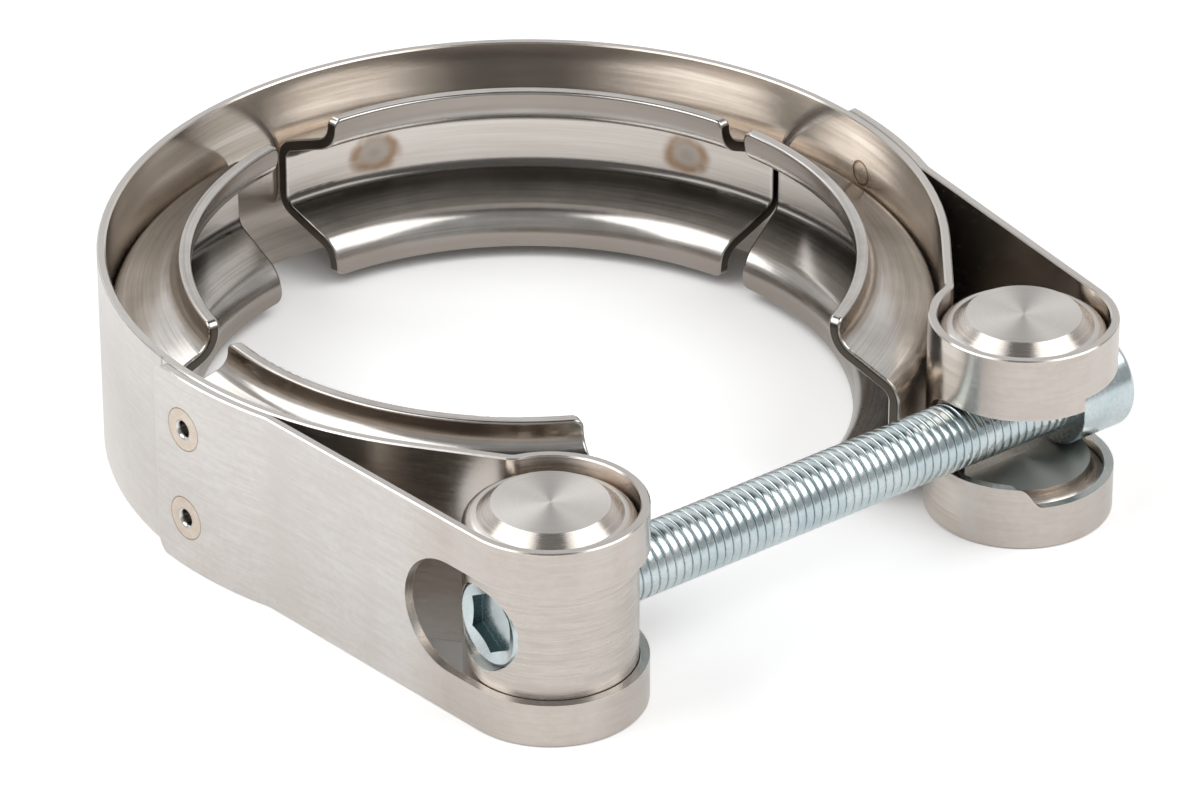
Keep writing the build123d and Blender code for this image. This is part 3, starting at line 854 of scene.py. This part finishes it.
def screwHead():
    # rings from the bearing face round the outside and down into the socket
    size = headSizes
    top = size["height"]
    floor = top - size["keyDepth"]
    rings = [(0, size["boreRadius"]), (0, size["radius"] - size["underEdge"])]
    for step in range(1, 4):
        turn = math.radians(30 * step)
        rings.append((size["underEdge"] * (1 - math.cos(turn)),
                      size["radius"] - size["underEdge"] * (1 - math.sin(turn))))
    for step in range(0, 7):
        turn = math.radians(15 * step)
        rings.append((top - size["edge"] * (1 - math.sin(turn)),
                      size["radius"] - size["edge"] * (1 - math.cos(turn))))

    def hexRadius(angle, inset=0.0):
        local = (angle + math.pi / 6) % (math.pi / 3) - math.pi / 6
        return min((size["keyFlats"] / 2 - inset) / math.cos(local),
                   size["keyFlats"] * size["keyCorner"] - inset)

    mouth = size["keyFlats"] * size["keyMouth"]
    rings.append((top, mouth + size["mouthEdge"]))
    rings.append((top - size["mouthEdge"], mouth))
    rings.append((top - size["keyFlare"], hexRadius))
    rings.append((floor, hexRadius))
    rings.append((floor - size["floorEdge"], lambda angle: hexRadius(angle, size["floorInset"])))
    rings.append((floor - size["drillDepth"], size["drillRadius"]))
    shell = bmesh.new()
    loops = []
    for x, radius in rings:
        loop = []
        for side in range(size["sides"]):
            angle = 2 * math.pi * side / size["sides"]
            reach = radius(angle) if callable(radius) else radius
            loop.append(shell.verts.new((size["seatX"] + x, places["screwY"] + reach * math.cos(angle),
                                         reach * math.sin(angle))))
        loops.append(loop)
    for first, second in zip(loops, loops[1:]):
        for side in range(size["sides"]):
            after = (side + 1) % size["sides"]
            shell.faces.new((first[side], first[after], second[after], second[side]))
    shell.faces.new(loops[-1])
    shell.faces.new(loops[0])
    mesh = bpy.data.meshes.new("screwHead")
    shell.to_mesh(mesh)
    shell.free()
    tidyShell(mesh, size["smoothAngle"])
    piece = bpy.data.objects.new("screwHead", mesh)
    bpy.context.scene.collection.objects.link(piece)
    return piece


head = screwHead()
dress(head, zinc)
for piece in (thread, head):
    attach(piece, "cap_screw")
    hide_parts("cap_screw")
print("cap screw made")


def cupTree():
    # a turned cup, set into each of the four rivets
    tree, given, out = startGeometry("rivetCups", (
        ("Radius", floatIn, 0.00178), ("Depth", floatIn, 0.0019), ("Around", "NodeSocketInt", 40),
        ("Rivet", vectorIn, (0, 0, 0))))
    sections = cupLook["sections"]
    grid = addNode(tree, "GeometryNodeMeshGrid")
    feed(tree, 1.0, grid.inputs["Size X"])
    feed(tree, 1.0, grid.inputs["Size Y"])
    feed(tree, maths(tree, "ADD", given["Around"], 1.0), grid.inputs["Vertices X"])
    feed(tree, len(sections), grid.inputs["Vertices Y"])
    gridX, gridY, _ = split(tree, addNode(tree, "GeometryNodeInputPosition").outputs[0])
    angle = maths(tree, "MULTIPLY", maths(tree, "ADD", gridX, 0.5), 2 * math.pi)
    share = maths(tree, "ADD", gridY, 0.5)
    radial = steppedCurve(tree, share, [section[0] for section in sections])
    reach = maths(tree, "MULTIPLY", radial, given["Radius"])
    deep = steppedCurve(tree, share, [section[1] for section in sections])
    sink = maths(tree, "MULTIPLY", deep, given["Depth"])
    turned = addNode(tree, "GeometryNodeSetPosition")
    feed(tree, grid.outputs["Mesh"], turned.inputs["Geometry"])
    below = maths(tree, "MULTIPLY", sink, -1.0)
    feed(tree, join(tree, *onCircle(tree, reach, angle), below), turned.inputs["Position"])
    # the sleeve round the cup closes it from behind
    sleeve = addNode(tree, "GeometryNodeMeshCylinder", fill_type="NGON")
    feed(tree, given["Around"], sleeve.inputs["Vertices"])
    feed(tree, given["Radius"], sleeve.inputs["Radius"])
    tall = maths(tree, "MULTIPLY", given["Depth"], cupLook["sleeveShare"])
    feed(tree, tall, sleeve.inputs["Depth"])
    drop = join(tree, z=maths(tree, "MULTIPLY", tall, -0.5))
    lidless = addNode(tree, "GeometryNodeDeleteGeometry", domain="FACE")
    rise = split(tree, addNode(tree, "GeometryNodeInputNormal").outputs[0])[2]
    feed(tree, shifted(tree, sleeve.outputs[0], drop), lidless.inputs["Geometry"])
    feed(tree, maths(tree, "GREATER_THAN", rise, 0.9), lidless.inputs["Selection"])
    joined = addNode(tree, "GeometryNodeJoinGeometry")
    feed(tree, turned.outputs[0], joined.inputs[0])
    feed(tree, lidless.outputs[0], joined.inputs[0])
    # both flaps, upper and lower rivet
    count = addNode(tree, "GeometryNodePoints")
    feed(tree, 4, count.inputs["Count"])
    number = addNode(tree, "GeometryNodeInputIndex").outputs[0]
    side = maths(tree, "MULTIPLY_ADD", maths(tree, "MODULO", number, 2.0), -2.0, 1.0)
    level = maths(tree, "MULTIPLY_ADD", maths(tree, "GREATER_THAN", number, 1.5), -2.0, 1.0)
    x, y, z = split(tree, given["Rivet"])
    centre = join(tree, maths(tree, "MULTIPLY", x, side), y, maths(tree, "MULTIPLY", z, level))
    feed(tree, centre, count.inputs["Position"])
    outward = addNode(tree, "FunctionNodeAlignEulerToVector", axis="Z")
    spot = addNode(tree, "GeometryNodeInputPosition").outputs[0]
    feed(tree, vectorMaths(tree, "MULTIPLY", spot, (1, 1, 0)), outward.inputs["Vector"])
    copies = addNode(tree, "GeometryNodeInstanceOnPoints")
    feed(tree, count.outputs[0], copies.inputs["Points"])
    feed(tree, joined.outputs[0], copies.inputs["Instance"])
    feed(tree, outward.outputs[0], copies.inputs["Rotation"])
    endGeometry(tree, copies.outputs[0], given, out)
    return tree


cups = grow("rivetCups", cupTree(), {
    "Radius": cupLook["radius"], "Depth": cupLook["depth"], "Around": cupLook["around"],
    "Rivet": rivetCentre(), "Finish": cupSteel()})
tidyShell(cups.data, cupLook["smoothAngle"])
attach(cups, "clamp_band")
print("rivet cups", len(cups.data.polygons), "faces")


studio = {
    "paper": (0.92, 0.92, 0.92, 1),
    "paperSide": 6.0,
    "floorGlow": 0.14,
    "floorSeen": 0.39,
    "pocketReach": 0.06,             # paper closed in by walls this near stays dark
    "pocketRange": (0.1, 0.42),
    "whiteFrom": (0.18, 0.42),       # away from the object the camera sees plain white
    "farBearing": 52.35,             # straight away from the camera
    "side": 0.46,                    # brightness of the room at the sides, behind, and overhead
    "far": 1.0,
    "nearCeiling": 0.36,
    "farCeiling": 0.045,
    "wallRange": (0.1, 0.8),         # from the near side to the far side
    "ceilingRange": (-0.42, -0.12),
    "overhead": (0.70, 0.88),
    "camera": {
        "lens": 210,
        "sensor": 36,
        "place": (-0.6473, -0.8610, 0.6150),
        "tilt": 59.68,
        "turn": -37.65,
    },
    "lamps": (                       # bearing, elevation, distance, size, brightness
        (158, 49, 0.9, 0.72, 2.3),
        (-52, 50, 0.9, 0.64, 2.3),
        (86, 44, 1.1, 0.36, 2.0),
    ),
}


def paperFloor():
    mesh = bpy.data.meshes.new("paperFloor")
    side = studio["paperSide"]
    corners = [(x * side, y * side, places["floor"]) for x, y in ((-1, -1), (1, -1), (1, 1), (-1, 1))]
    mesh.from_pydata(corners, [], [(0, 1, 2, 3)])
    floor = bpy.data.objects.new("paperFloor", mesh)
    bpy.context.scene.collection.objects.link(floor)
    material = bpy.data.materials.new("whitePaper")
    material.use_nodes = True
    tree = material.node_tree
    tree.nodes.clear()
    paper = addNode(tree, "ShaderNodeBsdfDiffuse")
    paper.inputs["Color"].default_value = studio["paper"]
    rays = addNode(tree, "ShaderNodeLightPath").outputs
    mirrored = maths(tree, "MAXIMUM", rays["Is Glossy Ray"], rays["Is Transmission Ray"])
    glow = addNode(tree, "ShaderNodeEmission")
    closeWalls = addNode(tree, "ShaderNodeAmbientOcclusion", samples=6)
    closeWalls.inputs["Distance"].default_value = studio["pocketReach"]
    openPaper = ramp(tree, closeWalls.outputs["AO"], *studio["pocketRange"], 0.0, studio["floorSeen"])
    where = addNode(tree, "ShaderNodeTexCoord").outputs["Object"]
    farPaper = ramp(tree, vectorMaths(tree, "LENGTH", where), *studio["whiteFrom"])
    seen = maths(tree, "MULTIPLY", rays["Is Camera Ray"], maths(tree, "MAXIMUM", openPaper, farPaper))
    feed(tree, maths(tree, "MULTIPLY_ADD", mirrored, studio["floorGlow"], seen), glow.inputs["Strength"])
    both = addNode(tree, "ShaderNodeAddShader")
    feed(tree, paper.outputs[0], both.inputs[0])
    feed(tree, glow.outputs[0], both.inputs[1])
    feed(tree, both.outputs[0], addNode(tree, "ShaderNodeOutputMaterial").inputs["Surface"])
    floor.data.materials.append(material)


def studioWorld():
    world = bpy.data.worlds.new("studioWorld")
    bpy.context.scene.world = world
    world.use_nodes = True
    tree = world.node_tree
    tree.nodes.clear()
    toward = addNode(tree, "ShaderNodeTexCoord").outputs["Generated"]
    bearing = math.radians(studio["farBearing"])
    away = vectorMaths(tree, "DOT_PRODUCT", toward, (math.cos(bearing), math.sin(bearing), 0))
    wall = ramp(tree, away, *studio["wallRange"], studio["side"], studio["far"])
    ceiling = ramp(tree, away, *studio["ceilingRange"], studio["nearCeiling"], studio["farCeiling"])
    high = ramp(tree, split(tree, toward)[2], *studio["overhead"])
    level = maths(tree, "MULTIPLY_ADD", maths(tree, "SUBTRACT", ceiling, wall), high, wall)
    rays = addNode(tree, "ShaderNodeLightPath").outputs
    strength = maths(tree, "MAXIMUM", level, rays["Is Camera Ray"])
    background = addNode(tree, "ShaderNodeBackground")
    feed(tree, strength, background.inputs["Strength"])
    feed(tree, background.outputs[0], addNode(tree, "ShaderNodeOutputWorld").inputs["Surface"])


def softLamps():
    for index, (bearing, elevation, distance, size, brightness) in enumerate(studio["lamps"]):
        lamp = bpy.data.lights.new(f"softLamp{index}", "AREA")
        lamp.shape = "SQUARE"
        lamp.size = size
        lamp.energy = math.pi * size * size * brightness
        holder = bpy.data.objects.new(f"softLamp{index}", lamp)
        bpy.context.scene.collection.objects.link(holder)
        across, up = math.radians(bearing), math.radians(elevation)
        away = Vector((math.cos(across) * math.cos(up), math.sin(across) * math.cos(up), math.sin(up)))
        holder.location = away * distance
        holder.rotation_euler = away.to_track_quat("Z", "Y").to_euler()


def photoCamera():
    size = studio["camera"]
    camera = bpy.data.cameras.new("photoCamera")
    camera.lens = size["lens"]
    camera.sensor_width = size["sensor"]
    camera.clip_start = 0.01
    camera.clip_end = 20
    holder = bpy.data.objects.new("photoCamera", camera)
    bpy.context.scene.collection.objects.link(holder)
    holder.location = size["place"]
    holder.rotation_euler = (math.radians(size["tilt"]), 0, math.radians(size["turn"]))
    bpy.context.scene.camera = holder


paperFloor()
studioWorld()
softLamps()
photoCamera()
bpy.context.scene.view_settings.view_transform = "Standard"
print("studio ready")
